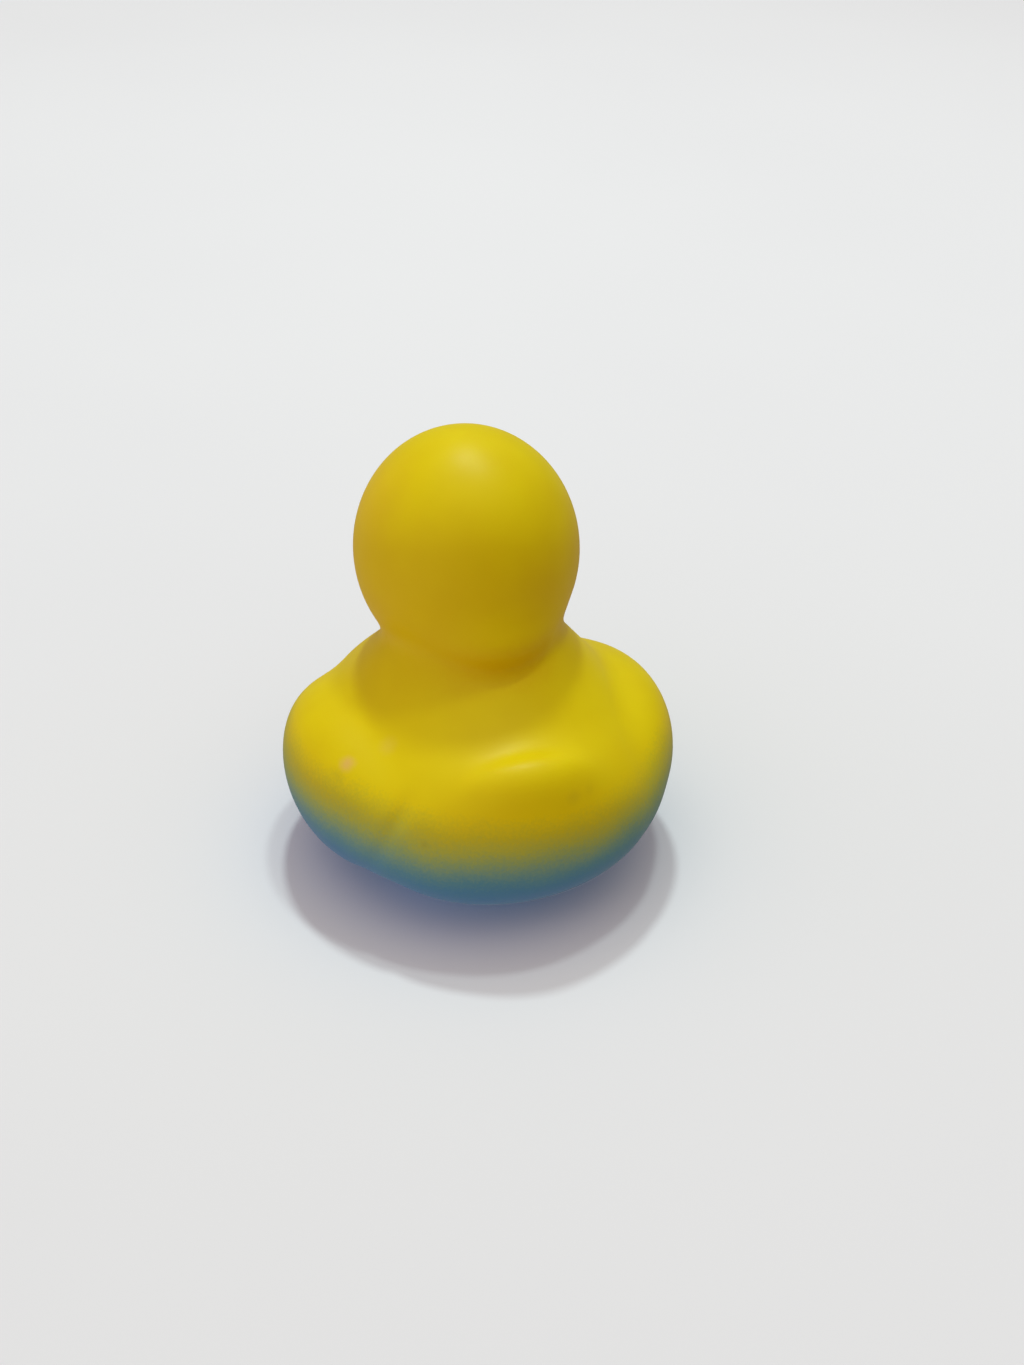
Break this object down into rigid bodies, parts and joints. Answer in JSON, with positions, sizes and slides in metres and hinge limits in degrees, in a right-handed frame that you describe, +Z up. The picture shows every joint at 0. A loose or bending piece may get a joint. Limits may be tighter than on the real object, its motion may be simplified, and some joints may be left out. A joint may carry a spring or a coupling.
{
  "type": "rubber duck",
  "caption": "Small hollow vinyl bath duck with a whistle disc in its flat base, yellow above and sprayed blue below.",
  "frame": {"origin": "on the surface the duck stands on, below the middle of its length and width", "axes": "+Z up, -Y the way the duck faces, +X the duck's left side"},
  "size_m": [0.0468, 0.0512, 0.0507],
  "materials": {
    "vinyl": "satin moulded vinyl, yellow, fading to sprayed blue towards the base",
    "whistle": "plain moulded plastic"
  },
  "bodies": {
    "root": {"duck_shell": "vinyl", "squeaker": "whistle"}
  },
  "joints": []
}
